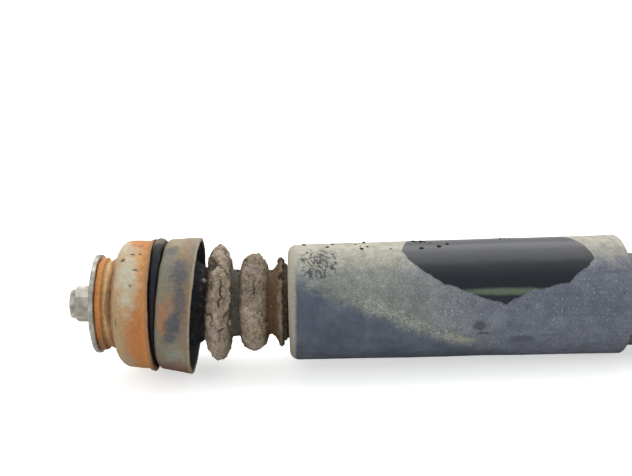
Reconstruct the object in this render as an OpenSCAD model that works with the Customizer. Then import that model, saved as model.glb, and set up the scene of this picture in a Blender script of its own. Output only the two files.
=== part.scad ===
// Telescopic rear damper, twin-tube, with pin-type top mount, foam bump stop, dust tube and lower eye.
// The damper lies along X. The centre of the lower eye is the origin and the top mount is towards -X.
// Heights called z below are measured along the damper, from the lower eye up towards the top mount.

/* [Travel] */
// Free travel, from fully extended until the bump cap meets the bump stop
free_stroke = 125; // [80:1:180]
// Further travel while the foam bump stop is crushed
crush_travel = 30; // [10:1:35]

/* [Cylinder] */
// Outside diameter of the reserve tube
body_d = 50; // [42:0.5:60]
// Wall of the reserve tube
body_wall = 1.6; // [1.2:0.1:2.5]
// Bore of the pressure tube, in which the piston runs
bore_d = 32; // [27:0.5:38]
// Wall of the pressure tube
bore_wall = 1.5; // [1:0.1:2]

/* [Piston rod] */
// Diameter of the rod where it runs in the guide
rod_d = 14; // [12:0.5:17]
// Diameter of the threaded upper end
rod_top_d = 12; // [10:0.5:12]
// Diameter of the stem that carries the piston
rod_stem_d = 9; // [8:0.5:10]

/* [Lower eye] */
// Outside diameter of the eye
eye_d = 40; // [36:0.5:48]
// Wall of the eye
eye_wall = 3.5; // [2.5:0.1:4.5]
// Width of the eye along its bore
eye_width = 28; // [22:0.5:36]
// Outside diameter of the sleeve in the bush
sleeve_d = 20; // [17:0.5:22]
// Bore of the sleeve
sleeve_bore = 12.2; // [10.2:0.1:14.2]
// Length of the sleeve, between the faces that the bracket clamps
sleeve_len = 40; // [32:0.5:50]

/* [Dust tube] */
// Room round the bump cap, inside the tube's closed upper end
dust_room = 2.75; // [2.5:0.25:6]
// How much wider the tube is at its open lower end
dust_flare = 2; // [1.5:0.5:6]
// Wall of the dust tube
dust_wall = 2; // [1.5:0.1:2.5]
// Length of cylinder that the tube still covers when the damper is fully extended
dust_overlap = 31.5; // [15:1:60]
// Radius of the rounded upper corner
dust_corner = 5; // [3:0.5:8]
// Lean of the tube in the foam's groove, where its open end has been pushed up by what the damper lies on
dust_lean = 1; // [0:0.1:1]

/* [Bump stop] */
// Distance between the crests of the bulges
bulge_pitch = 20; // [17:0.5:24]
// Diameter over the upper bulge
bulge_a_d = 61; // [54:0.5:64]
// Diameter over the middle bulge
bulge_b_d = 52; // [46:0.5:56]
// Diameter over the lower bulge, which sits on the dust tube
bulge_c_d = 49; // [44:0.5:52]
// Diameter in the valleys between the bulges
valley_d = 33.5; // [28:0.5:40]
// Length of the tail inside the dust tube
tail_len = 18; // [12:0.5:26]

/* [Top mount] */
// Diameter of the top washer
washer_d = 52.4; // [44:0.2:60]
// Thickness of the top washer
washer_t = 2.6; // [2:0.1:4]
// Nut size across its flats
nut_af = 17; // [15:0.5:22]
// Height of the nut's hexagon
nut_h = 9.6; // [7:0.2:14]
// Diameter of the collar's flange, under the washer
collar_d = 49; // [44:0.5:54]
// Length of the collar
collar_len = 8.5; // [6:0.5:12]
// Diameter of the upper cup
upper_cup_d = 67; // [56:0.5:80]
// Length of the upper cup
upper_cup_len = 20.2; // [16:0.2:28]
// Thickness of the pressed steel of both cups
cup_wall = 1.8; // [1.2:0.1:2.4]
// Gap between the cups, measured on the axis
cup_gap = 3.3; // [3:0.1:8]
// Lean of the lower cup, from years of side load
cup_lean = 3.8; // [0:0.2:4]
// Diameter of the lower cup at its closed end
lower_cup_d = 69.6; // [64:0.2:74]
// Diameter of the lower cup at its open end
lower_cup_mouth_d = 73; // [66:0.2:78]
// Depth of the lower cup
lower_cup_len = 18; // [14:0.2:24]

/* [Hidden] */
$fn = 96;

seat_gap = 0.05;      // between pieces that are pressed or clamped together
run_gap = 0.05;       // radial clearance of a running fit
soft_gap = 0.3;       // between a soft or loose piece and one that moves past it
overrun = 1;          // how far a cutting shape goes past what it cuts

// Lower end of the cylinder
eye_stand_off = 2;                               // from the eye to the base cap, bridged by the weld
z_base = eye_d / 2 + eye_stand_off;
base_t = 3;
base_skirt = 9;
base_skirt_t = 2.5;
foot_h = 6;                                      // legs of the base valve body
foot_spigot = 7;                                 // stretch of it inside the pressure tube
z_foot = z_base + base_t + seat_gap;
z_foot_top = z_foot + foot_h + foot_spigot;
foot_plate_t = 1.2;
rivet_hole_r = 3.5;
rivet_head_h = 2.5;
foot_clear = 4;                                  // left under the piston nut at full bump

// Piston and its valve discs, stacked on the rod's stem
nut_t = 8;
disc_t = 0.8;
discs_n = 3;
stack_t = discs_n * disc_t;
piston_t = 20;
band_inset = 4;                                  // from the piston's faces to the band's groove
band_in_r = bore_d / 2 - 1.6;
plate_t = 3;
stop_t = 9;
z_nut_low = z_foot_top + foot_plate_t + rivet_head_h + foot_clear + free_stroke + crush_travel;
z_stack_low = z_nut_low + nut_t + seat_gap;
z_piston = z_stack_low + stack_t + seat_gap;
z_stack_high = z_piston + piston_t + seat_gap;
z_stem_top = z_stack_high + stack_t + seat_gap;
z_plate = z_stem_top + 2;
z_stop = z_plate + plate_t + seat_gap;

// Upper end of the cylinder
guide_spigot = 10;
guide_flange = 10;
seal_t = 4;
seal_washer_t = 1.5;
guide_bush_r = rod_d / 2 + 1.5;
z_guide = z_stop + stop_t + soft_gap;
z_guide_flange = z_guide + guide_spigot;
z_seal = z_guide_flange + guide_flange + seat_gap;
z_seal_washer = z_seal + seal_t + seat_gap;
z_lip = z_seal_washer + seal_washer_t + seat_gap;
z_body_top = z_lip + body_wall;
cap_t = 1.5;
cap_wall = 1.2;
cap_skirt = 14;
z_cap = z_body_top + seat_gap + cap_t;           // the face that strikes the bump stop

// Bump stop and dust tube
z_tail = z_cap + soft_gap + free_stroke;
z_wall_in = z_tail + tail_len;
z_dust_top = z_wall_in + dust_wall;
z_dust_low = z_cap - dust_overlap;
bulge_c_h = 7;                                   // height of the lower bulge above the dust tube
bulge_half = bulge_pitch / 2 - 1.6;              // half the thickness of a bulge at its foot
z_crest_b = z_dust_top + 18;
z_crest_a = z_crest_b + bulge_pitch;
head_len = 20.5;
z_head = z_crest_a + head_len;

// Top mount
lower_washer_t = 2.5;
lower_washer_r = 16;
bead_t = 3;                                      // rubber bead under the lower cup's floor
z_shoulder = z_head + soft_gap;                  // the rod's shoulder, under the lower washer
z_sleeve_low = z_shoulder + lower_washer_t;
floor_drop = cup_wall + bead_t + soft_gap + lower_washer_r * sin(cup_lean);
z_lower_floor = z_sleeve_low + floor_drop;       // top face of the lower cup's floor, on the axis
z_upper_lip = z_lower_floor + cup_gap;
z_upper_top = z_upper_lip + upper_cup_len;
z_washer = z_upper_top + collar_len;
z_nut = z_washer + washer_t + seat_gap;
crimp_h = 2.6;                                   // locking crown on the nut
rod_proud = 0.8;                                 // rod that stands out of the nut
z_rod_top = z_nut + nut_h + crimp_h + rod_proud;

body_r = body_d / 2;
body_in_r = body_r - body_wall;
bore_r = bore_d / 2;
bore_out_r = bore_r + bore_wall;
rod_r = rod_d / 2;
rod_top_r = rod_top_d / 2;
stem_r = rod_stem_d / 2;
eye_r = eye_d / 2;
eye_in_r = eye_r - eye_wall;
groove_r = valley_d / 2 + 2.5;                   // groove in the foam that the dust tube snaps into
sleeve_top_r = rod_top_r + 4.5;                  // outside of the mount's inner sleeve
floor_hole_r = 22.5;
spigot_hole_r = 16;

// ---- helpers ----

// Lays a shape that stands on the lower eye down along -X
module on_axis() {
    rotate([0, -90, 0]) children();
}

// Leans a shape sideways about a point on the damper's axis
module leaned(angle, z_pivot) {
    translate([0, 0, z_pivot]) rotate([0, angle, 0]) translate([0, 0, -z_pivot]) children();
}

// A ring or disc between two heights
module ring(r_out, r_in, z_low, height) {
    translate([0, 0, z_low]) difference() {
        cylinder(r = r_out, h = height);
        if (r_in > 0) translate([0, 0, -overrun]) cylinder(r = r_in, h = height + 2 * overrun);
    }
}

// Points of a round stretch of an outline, as [radius, height]
function arc(r, z, size, from, to, steps = 8) =
    [for (i = [0 : steps]) let (a = from + (to - from) * i / steps) [r + size * cos(a), z + size * sin(a)]];

// Evenly spaced copies round the damper's axis
module around(count, start = 0) {
    for (i = [0 : count - 1]) rotate([0, 0, start + i * 360 / count]) children();
}

// ---- lower eye ----

module eye_ring() {
    neck_r = 13;
    weld_r = 16;                                 // the neck spreads into the weld at the base cap
    weld_h = 5;
    z_weld = z_base - seat_gap;
    color("#3c3a37") difference() {
        union() {
            rotate([90, 0, 0]) cylinder(r = eye_r, h = eye_width, center = true);
            on_axis() rotate_extrude() polygon([[0, eye_r / 2], [neck_r, eye_r / 2], [neck_r, z_weld - weld_h],
                                                [weld_r, z_weld], [0, z_weld]]);
        }
        rotate([90, 0, 0]) cylinder(r = eye_in_r, h = eye_width + 2 * neck_r, center = true);
    }
}

module eye_bush() {
    in_r = sleeve_d / 2 + seat_gap;
    out_r = eye_in_r - seat_gap;
    collar_t = 1.5;                              // thin collar of rubber along the sleeve
    half = eye_width / 2;
    collar_end = half + (sleeve_len / 2 - half) * 0.6;
    mid_r = (in_r + out_r) / 2;
    end = [[in_r, collar_end], [in_r + collar_t, collar_end], [mid_r, half + 0.5], [out_r, half - collar_t]];
    color("#1d1c1b") rotate([90, 0, 0]) rotate_extrude()
        polygon(concat(end, [for (i = [len(end) - 1 : -1 : 0]) [end[i][0], -end[i][1]]]));
}

module eye_sleeve() {
    color("#8d8a84") rotate([90, 0, 0]) difference() {
        cylinder(d = sleeve_d, h = sleeve_len, center = true);
        cylinder(d = sleeve_bore, h = sleeve_len + 2 * overrun, center = true);
    }
}

// ---- cylinder ----

module base_cap() {
    out_r = body_in_r - seat_gap;
    in_r = out_r - base_skirt_t;
    corner = 2;
    color("#3c3a37") on_axis() rotate_extrude()
        polygon(concat([[0, z_base]], arc(out_r - corner, z_base + corner, corner, -90, 0),
                       [[out_r, z_base + base_skirt], [in_r, z_base + base_skirt], [in_r, z_base + base_t],
                        [0, z_base + base_t]]));
}

module reserve_tube() {
    lip_in_r = rod_r + 5;
    roll = 3;
    color("#2b2c2e") on_axis() rotate_extrude()
        polygon(concat([[body_in_r, z_base], [body_r, z_base]],
                       arc(body_r - roll, z_body_top - roll, roll, 0, 90),
                       [[lip_in_r, z_body_top], [lip_in_r, z_lip], [body_in_r, z_lip]]));
}

module pressure_tube() {
    z_low = z_foot + foot_h + seat_gap;
    color("#a7a9ab") on_axis() ring(bore_out_r, bore_r, z_low, z_guide_flange - seat_gap - z_low);
}

module base_valve_body() {
    port_ring_r = bore_r * 0.62;
    port_r = 2;
    slot_w = 5;
    slot_h = 2.5;
    z_low = z_foot - overrun;
    color("#7c7d7f") on_axis() difference() {
        union() {
            ring(bore_out_r, rivet_hole_r, z_foot, foot_h);
            ring(bore_r - seat_gap, rivet_hole_r, z_foot + foot_h, foot_spigot);
        }
        around(6) translate([port_ring_r, 0, z_low]) cylinder(r = port_r, h = foot_h + foot_spigot + 2 * overrun);
        around(4) translate([0, -slot_w / 2, z_low]) cube([bore_out_r + overrun, slot_w, overrun + slot_h]);
    }
}

module base_valve_plate() {
    color("#b6b7b8") on_axis() ring(bore_r - 2.5, rivet_hole_r, z_foot_top + seat_gap, foot_plate_t - seat_gap);
}

module base_valve_rivet() {
    shank_r = rivet_hole_r - seat_gap;
    head_r = shank_r + 2.5;
    head_slope = 1;
    z_tail_end = z_foot + 0.5;
    z_head_low = z_foot_top + foot_plate_t + seat_gap;
    color("#9b9c9e") on_axis() {
        ring(shank_r, 0, z_tail_end, z_head_low + seat_gap - z_tail_end);
        translate([0, 0, z_head_low]) cylinder(r1 = head_r, r2 = head_r - head_slope, h = rivet_head_h - seat_gap);
    }
}

module rod_guide() {
    drain_ring_r = (bore_out_r + body_in_r) / 2;
    drain_r = min(1.5, (body_in_r - bore_out_r) / 4);
    color("#6d6a66") on_axis() difference() {
        union() {
            ring(bore_r - seat_gap, guide_bush_r, z_guide, guide_spigot + overrun);
            ring(body_in_r - seat_gap, guide_bush_r, z_guide_flange, guide_flange);
        }
        around(4, 45) translate([drain_ring_r, 0, z_guide_flange - overrun])
            cylinder(r = drain_r, h = guide_flange + 2 * overrun);
    }
}

module guide_bush() {
    color("#b08d57") on_axis()
        ring(guide_bush_r - seat_gap, rod_r + run_gap, z_guide + 1, guide_spigot + guide_flange - 2);
}

module rod_seal() {
    out_r = body_in_r - seat_gap;
    lip_r = rod_r + run_gap;
    relief = 1;                                  // the seal stands this far off the rod between its lips
    lip_h = 0.8;
    color("#191919") on_axis() rotate_extrude()
        polygon([[lip_r, z_seal + lip_h], [lip_r + relief, z_seal], [out_r, z_seal], [out_r, z_seal + seal_t],
                 [lip_r + relief, z_seal + seal_t], [lip_r, z_seal + seal_t - lip_h],
                 [lip_r + relief, z_seal + seal_t / 2]]);
}

module seal_washer() {
    color("#8f9092") on_axis() ring(body_in_r - seat_gap, rod_r + 1, z_seal_washer, seal_washer_t);
}

module bump_cap() {
    in_r = body_r + seat_gap;
    out_r = in_r + cap_wall;
    hole_r = rod_r + 2;
    roll = 2.5;
    drain_w = 5;
    color("#4a4641") on_axis() difference() {
        rotate_extrude()
            polygon(concat([[in_r, z_cap - cap_skirt], [out_r, z_cap - cap_skirt]],
                           arc(out_r - roll, z_cap - roll, roll, 0, 90),
                           [[hole_r, z_cap], [hole_r, z_cap - cap_t], [in_r, z_cap - cap_t]]));
        around(4) translate([hole_r - overrun, -drain_w / 2, z_cap - cap_t - overrun])
            cube([drain_w, drain_w, cap_t + 2 * overrun]);
    }
}

// ---- rod and piston ----

module piston_rod() {
    chamfer = 0.8;
    z_low = z_nut_low - 1;
    color("#c9cbcc") on_axis() rotate_extrude()
        polygon([[0, z_low], [stem_r - chamfer, z_low], [stem_r, z_low + chamfer], [stem_r, z_stem_top],
                 [rod_r, z_stem_top], [rod_r, z_shoulder], [rod_top_r, z_shoulder],
                 [rod_top_r, z_rod_top - chamfer], [rod_top_r - chamfer, z_rod_top], [0, z_rod_top]]);
}

module rebound_plate() {
    color("#6f7173") on_axis() ring(bore_r - 3, rod_r + seat_gap, z_plate, plate_t);
}

module rebound_stop() {
    color("#26231f") on_axis() ring(bore_r - 3.5, rod_r + seat_gap, z_stop, stop_t);
}

module piston() {
    port_ring_r = (stem_r + bore_r) / 2;
    port_r = 1.8;
    color("#77787a") on_axis() difference() {
        ring(bore_r - 0.4, stem_r + seat_gap, z_piston, piston_t);
        ring(bore_r + overrun, band_in_r, z_piston + band_inset, piston_t - 2 * band_inset);
        around(6) translate([port_ring_r, 0, z_piston - overrun]) cylinder(r = port_r, h = piston_t + 2 * overrun);
    }
}

module piston_band() {
    color("#54463a") on_axis() ring(bore_r - run_gap, band_in_r + seat_gap, z_piston + band_inset + seat_gap,
                                    piston_t - 2 * (band_inset + seat_gap));
}

// A stack of discs whose radii step evenly from the first to the last, going up
module disc_stack(z_low, first_r, last_r) {
    step = (last_r - first_r) / (discs_n - 1);
    on_axis() for (i = [0 : discs_n - 1])
        ring(first_r + i * step, stem_r + seat_gap, z_low + i * disc_t, disc_t);
}

module compression_discs() {
    color("#a3a5a7") disc_stack(z_stack_high, bore_r - 3, bore_r - 6);
}

module rebound_discs() {
    color("#a3a5a7") disc_stack(z_stack_low, bore_r - 5.5, bore_r - 3.5);
}

module piston_nut() {
    color("#8e8a82") on_axis() difference() {
        translate([0, 0, z_nut_low]) cylinder(r = stem_r + 4.2, h = nut_t, $fn = 6);
        translate([0, 0, z_nut_low - overrun]) cylinder(r = stem_r + seat_gap, h = nut_t + 2 * overrun);
    }
}

// ---- bump stop and dust tube ----

module dust_tube() {
    hole_r = groove_r + soft_gap;
    top_r = body_r + seat_gap + cap_wall + dust_room + dust_wall;
    low_r = top_r + dust_flare / 2;
    color("#2a3140") on_axis() leaned(-dust_lean, z_wall_in + dust_wall / 2) rotate_extrude()
        polygon(concat([[hole_r, z_wall_in], [hole_r, z_dust_top]],
                       arc(top_r - dust_corner, z_dust_top - dust_corner, dust_corner, 90, 0),
                       [[low_r, z_dust_low], [low_r - dust_wall, z_dust_low]],
                       arc(top_r - dust_corner, z_dust_top - dust_corner, dust_corner - dust_wall, 0, 90)));
}

// A bulge of the foam, as half an ellipse that stands out of the valleys
function bulge(crest_z, crest_r, foot_r, steps = 10) =
    [for (i = [0 : steps]) let (a = -90 + 180 * i / steps)
     [foot_r + (crest_r - foot_r) * cos(a), crest_z + bulge_half * sin(a)]];

module bump_stop() {
    in_r = rod_r + soft_gap;
    foot_r = valley_d / 2;
    tail_corner = 4;
    catch_r = foot_r + 5;                        // the tail's rib, under the dust tube's wall
    catch_h = 4;
    head_r = 24;
    head_corner = 2;
    lean_gap = soft_gap + bulge_c_d / 2 * sin(dust_lean);
    z_seat = z_dust_top + lean_gap;
    z_catch = z_wall_in - lean_gap;
    color("#6f6556") on_axis() rotate_extrude()
        polygon(concat([[in_r, z_tail]], arc(foot_r - tail_corner / 2, z_tail + tail_corner, tail_corner, -90, 0),
                       [[catch_r, z_catch - catch_h], [catch_r, z_catch], [groove_r, z_catch], [groove_r, z_seat],
                        [bulge_c_d / 2, z_seat], [bulge_c_d / 2, z_seat + 1.5], [foot_r + 1.5, z_seat + bulge_c_h]],
                       bulge(z_crest_b, bulge_b_d / 2, foot_r),
                       bulge(z_crest_a, bulge_a_d / 2, foot_r + 1),
                       [[head_r, z_crest_a + bulge_half + 3], [head_r, z_head - head_corner],
                        [head_r - head_corner, z_head], [in_r, z_head]]));
}

// ---- top mount ----

module lower_washer() {
    color("#77746e") on_axis()
        ring(lower_washer_r, rod_top_r + seat_gap, z_shoulder, lower_washer_t - seat_gap);
}

module inner_sleeve() {
    color("#8b8882") on_axis()
        ring(sleeve_top_r, rod_top_r + seat_gap, z_sleeve_low, z_washer - seat_gap - z_sleeve_low);
}

module lower_cup() {
    floor_r = lower_cup_d / 2;
    mouth_r = lower_cup_mouth_d / 2;
    roll = 4;
    z_mouth = z_lower_floor - lower_cup_len;
    color("#6e6a62") on_axis() leaned(cup_lean, z_lower_floor) rotate_extrude()
        polygon(concat([[floor_hole_r, z_lower_floor - cup_wall], [floor_hole_r, z_lower_floor]],
                       arc(floor_r - roll, z_lower_floor - roll, roll, 90, 0),
                       [[mouth_r, z_mouth], [mouth_r - cup_wall, z_mouth]],
                       arc(floor_r - roll, z_lower_floor - roll, roll - cup_wall, 0, 90)));
}

module mount_rubber() {
    in_r = sleeve_top_r + seat_gap;
    neck_r = floor_hole_r - 2;
    cup_in_r = upper_cup_d / 2 - cup_wall - seat_gap;
    slope = 4;                                   // bevel where the rubber meets the cup's mouth
    top_r = 14;                                  // stub that centres the collar
    z_shoulder_low = z_upper_top - 9;
    bead_r = 28;
    bead_corner = 1.5;
    z_bead = z_lower_floor - cup_wall;
    color("#1b1a1a") on_axis() {
        rotate_extrude()
            polygon([[in_r, z_lower_floor - 0.5], [neck_r, z_lower_floor - 0.5], [neck_r, z_upper_lip],
                     [cup_in_r - slope, z_upper_lip], [cup_in_r, z_upper_lip + slope], [cup_in_r, z_shoulder_low],
                     [cup_in_r - 7, z_shoulder_low + 4.5], [top_r, z_upper_top - 2], [top_r, z_washer - 1],
                     [in_r, z_washer - 1]]);
        leaned(cup_lean, z_lower_floor) rotate_extrude()
            polygon([[in_r + 1.5, z_bead - bead_t], [bead_r - bead_corner, z_bead - bead_t],
                     [bead_r, z_bead - bead_t + bead_corner], [bead_r, z_bead - seat_gap],
                     [neck_r - 2, z_bead - seat_gap], [neck_r - 2, z_lower_floor + 1],
                     [in_r + 1.5, z_lower_floor + 1]]);
    }
}

module seal_ring() {
    in_r = floor_hole_r + 1;
    out_r = upper_cup_d / 2 + 2;
    lean_drop = out_r * sin(cup_lean) + 0.3;     // how far the leaning floor drops on one side
    band_t = cup_gap + lean_drop - seat_gap;
    lip_r = band_t / 2;
    z_low = z_lower_floor - lean_drop;
    color("#17191f") on_axis() difference() {
        rotate_extrude()
            polygon(concat([[in_r, z_low]], arc(out_r - lip_r, z_low + lip_r, lip_r, -90, 90, 12),
                           [[in_r, z_low + band_t]]));
        leaned(cup_lean, z_lower_floor) ring(out_r + 10, 0, z_lower_floor + seat_gap - 3 * band_t, 3 * band_t);
    }
}

module upper_cup() {
    out_r = upper_cup_d / 2;
    neck_r = collar_d / 2 + 0.3;
    lip = 1;
    roll = min(6.5, out_r - neck_r - 1.5);
    drop = 1.6;                                  // from the cup's seat down to its shoulder
    z_roll = z_upper_top - drop - roll;
    color("#a5713f") on_axis() rotate_extrude()
        polygon(concat([[out_r - cup_wall, z_upper_lip], [out_r + lip, z_upper_lip],
                        [out_r + lip, z_upper_lip + lip], [out_r, z_upper_lip + 3 * lip]],
                       arc(out_r - roll, z_roll, roll, 0, 80),
                       [[neck_r, z_upper_top - drop], [neck_r - 0.4, z_upper_top], [spigot_hole_r, z_upper_top],
                        [spigot_hole_r, z_upper_top - cup_wall], [neck_r - cup_wall, z_upper_top - drop - cup_wall]],
                       arc(out_r - roll, z_roll, max(0.3, roll - cup_wall), 80, 0)));
}

module spigot_collar() {
    out_r = collar_d / 2;
    groove_r = out_r - 1.7;
    ridge_r = out_r - 0.5;
    ridge_t = 2.2;
    flange_t = 3.4;
    round = 0.8;
    z_low = z_upper_top + seat_gap;
    z_high = z_washer - seat_gap;
    color("#b87a3c") on_axis() rotate_extrude()
        polygon(concat([[spigot_hole_r, z_low], [ridge_r - round, z_low], [ridge_r, z_low + round],
                        [ridge_r, z_low + ridge_t - round], [groove_r, z_low + ridge_t + round],
                        [groove_r, z_high - flange_t - round]],
                       arc(out_r - round, z_high - flange_t + round, round, -60, 0, 4),
                       arc(out_r - round, z_high - round, round, 0, 90, 4),
                       [[spigot_hole_r, z_high]]));
}

module top_washer() {
    out_r = washer_d / 2;
    edge = 0.7;
    color("#a3a19b") on_axis() rotate_extrude()
        polygon([[rod_top_r + seat_gap, z_washer], [out_r - edge, z_washer], [out_r, z_washer + edge],
                 [out_r, z_washer + washer_t - edge], [out_r - edge, z_washer + washer_t],
                 [rod_top_r + seat_gap, z_washer + washer_t]]);
}

module top_nut() {
    corner_r = nut_af / 2 / cos(30);
    crown_r = nut_af / 2 - 0.7;
    turned = 12;                                 // where tightening left its corners
    color("#8f8d86") on_axis() difference() {
        union() {
            intersection() {
                translate([0, 0, z_nut]) rotate([0, 0, turned]) cylinder(r = corner_r, h = nut_h, $fn = 6);
                translate([0, 0, z_nut]) cylinder(r1 = corner_r + nut_h * 0.58, r2 = corner_r - 1, h = nut_h);
            }
            translate([0, 0, z_nut + nut_h]) cylinder(r1 = crown_r, r2 = crown_r - 0.7, h = crimp_h);
        }
        translate([0, 0, z_nut - overrun]) cylinder(r = rod_top_r + seat_gap, h = nut_h + crimp_h + 2 * overrun);
    }
}

eye_ring();
eye_bush();
eye_sleeve();
base_cap();
reserve_tube();
pressure_tube();
base_valve_body();
base_valve_plate();
base_valve_rivet();
rod_guide();
guide_bush();
rod_seal();
seal_washer();
bump_cap();
piston_rod();
rebound_stop();
rebound_plate();
piston();
piston_band();
compression_discs();
rebound_discs();
piston_nut();
dust_tube();
bump_stop();
lower_washer();
inner_sleeve();
mount_rubber();
lower_cup();
seal_ring();
upper_cup();
spigot_collar();
top_washer();
top_nut();
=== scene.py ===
import math
import random

import bmesh
import bpy
from mathutils import Euler, Matrix, Vector, noise


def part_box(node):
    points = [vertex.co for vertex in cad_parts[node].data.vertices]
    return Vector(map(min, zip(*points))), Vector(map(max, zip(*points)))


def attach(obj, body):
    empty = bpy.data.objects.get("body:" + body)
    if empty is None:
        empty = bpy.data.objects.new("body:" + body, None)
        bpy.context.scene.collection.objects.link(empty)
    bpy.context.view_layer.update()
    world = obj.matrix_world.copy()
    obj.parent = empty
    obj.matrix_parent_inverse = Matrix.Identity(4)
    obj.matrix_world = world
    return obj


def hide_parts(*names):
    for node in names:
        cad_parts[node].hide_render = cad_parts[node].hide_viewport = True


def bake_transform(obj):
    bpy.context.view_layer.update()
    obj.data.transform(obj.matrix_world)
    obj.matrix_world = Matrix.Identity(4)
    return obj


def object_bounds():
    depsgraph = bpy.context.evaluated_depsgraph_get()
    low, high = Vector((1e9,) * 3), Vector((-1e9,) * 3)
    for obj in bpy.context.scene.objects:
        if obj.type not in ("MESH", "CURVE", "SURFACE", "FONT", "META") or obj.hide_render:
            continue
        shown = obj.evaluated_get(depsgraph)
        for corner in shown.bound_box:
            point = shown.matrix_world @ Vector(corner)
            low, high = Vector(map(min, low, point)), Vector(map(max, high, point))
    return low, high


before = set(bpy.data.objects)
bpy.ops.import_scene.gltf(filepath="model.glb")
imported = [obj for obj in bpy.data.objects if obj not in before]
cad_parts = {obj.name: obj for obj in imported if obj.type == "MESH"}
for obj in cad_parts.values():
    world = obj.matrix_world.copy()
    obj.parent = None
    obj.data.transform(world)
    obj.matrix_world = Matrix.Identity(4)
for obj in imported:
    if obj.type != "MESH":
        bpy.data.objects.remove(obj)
cad_low, cad_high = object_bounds()
scene = bpy.context.scene


# ---- Camera ----
# A 53 mm lens half a metre from the damper, looking down on it at 22 degrees, with the damper in the lower
# half of the view and its lower end out of it.

camera_data = bpy.data.cameras.new("camera")
camera_data.lens = 52.7
camera_data.sensor_width = 36
camera = bpy.data.objects.new("camera", camera_data)
scene.collection.objects.link(camera)
scene.camera = camera

camera_reach = 0.5002
camera_above = math.radians(22)
camera_along = cad_low.x + 0.1171
camera.location = (camera_along, -camera_reach * math.cos(camera_above),
                   camera_reach * math.sin(camera_above))
camera_turn = Euler((math.radians(90) - camera_above, 0, 0)).to_matrix()
for degrees, axis in ((-1.5, "Y"), (3.93, "X"), (-0.53, "Z")):
    camera_turn = camera_turn @ Matrix.Rotation(math.radians(degrees), 3, axis)
camera.rotation_euler = camera_turn.to_euler()


# ---- Floor and light ----
# A plain white table top under two broad soft lamps, in a pale room with a darker side behind the camera.
# The damper lies on the rim of its lower cup and on its eye, so the table leans by about two degrees in the
# damper's own frame.


def linear(colour):
    """The linear colour, with alpha, of an sRGB hex value."""
    parts = [int(colour[i:i + 2], 16) / 255 for i in (0, 2, 4)]
    return [p / 12.92 if p <= 0.04045 else ((p + 0.055) / 1.055) ** 2.4 for p in parts] + [1.0]


def add(tree, kind, sockets=None, stops=None, **settings):
    """Adds a shader node with its settings. A socket takes a value, an sRGB hex colour, a socket, or a node's
    first output. A ramp's stops are pairs of a place and a colour."""
    node = tree.nodes.new("ShaderNode" + kind)
    for name, value in settings.items():
        setattr(node, name, value)
    for key, value in (sockets or {}).items():
        live = [socket for socket in node.inputs if socket.enabled]
        target = live[key] if isinstance(key, int) else next(s for s in live if s.name == key)
        if isinstance(value, str):
            value = linear(value)
        if isinstance(value, bpy.types.Node):
            value = next(socket for socket in value.outputs if socket.enabled)
        if isinstance(value, bpy.types.NodeSocket):
            tree.links.new(value, target)
        else:
            target.default_value = value
    if stops:
        marks = node.color_ramp.elements
        marks.remove(marks[1])
        for i, (place, shade) in enumerate(stops):
            mark = marks.new(place) if i else marks[0]
            mark.position = place
            mark.color = linear(shade) if isinstance(shade, str) else shade
    return node


cup_low, cup_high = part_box("lower_cup")
eye_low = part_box("eye_ring")[0]
table_lean = math.atan2(eye_low.z - cup_low.z, -cup_high.x)

table_size = 16
table_gap = 0.0003
table_mesh = bpy.data.meshes.new("table")
bm = bmesh.new()
bmesh.ops.create_grid(bm, x_segments=1, y_segments=1, size=table_size / 2)
bmesh.ops.rotate(bm, verts=bm.verts, matrix=Matrix.Rotation(-table_lean, 3, "Y"))
bmesh.ops.translate(bm, verts=bm.verts, vec=(cup_high.x, 0, cup_low.z - table_gap))
bm.to_mesh(table_mesh)
bm.free()
table = bpy.data.objects.new("table", table_mesh)
scene.collection.objects.link(table)

# White laminate. Where it is seen directly it also glows, so it reads as plain white round a faint shadow.
table_glow = 0.56
laminate = bpy.data.materials.new("white_laminate")
laminate.use_nodes = True
tree = laminate.node_tree
tree.nodes.clear()
seen = add(tree, "LightPath").outputs["Is Camera Ray"]
glow = add(tree, "Math", {0: seen, 1: table_glow}, operation="MULTIPLY")
matt = add(tree, "BsdfDiffuse", {"Color": "e3e3e1"})
lit = add(tree, "Emission", {"Color": "ffffff", "Strength": glow})
add(tree, "OutputMaterial", {"Surface": add(tree, "AddShader", {0: matt, 1: lit})})
table_mesh.materials.append(laminate)

# The room by height, from the horizon in front (0) over the ceiling (0.5) to the horizon behind (1).
room_strength = 1.4
world = bpy.data.worlds.new("room")
world.use_nodes = True
scene.world = world
tree = world.node_tree
tree.nodes.clear()
way = add(tree, "SeparateXYZ", {"Vector": add(tree, "TexCoord").outputs["Generated"]})
front = add(tree, "Math", {0: way.outputs["Y"], 1: -1.0}, operation="MULTIPLY")
height = add(tree, "Math", {0: way.outputs["Z"], 1: front}, operation="ARCTAN2")
height = add(tree, "Math", {0: height, 1: 1 / math.pi}, operation="MULTIPLY")
walls = add(tree, "ValToRGB", {"Fac": height}, stops=[
    (0.0, "c6c8ca"), (0.12, "b9bdbc"), (0.2, "8f9398"), (0.33, "9b9da2"), (0.48, "f4f5f6"), (0.8, "f0f1f1"),
    (1.0, "bcbdbd")])
rays = add(tree, "LightPath")
seen = add(tree, "Math", {0: rays.outputs["Is Camera Ray"], 1: rays.outputs["Is Transmission Ray"]},
           operation="MAXIMUM")
shade = add(tree, "Mix", {"Factor": seen, "A": walls, "B": "ffffff"}, data_type="RGBA")
add(tree, "OutputWorld", {"Surface": add(tree, "Background", {"Color": shade, "Strength": room_strength})})

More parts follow.
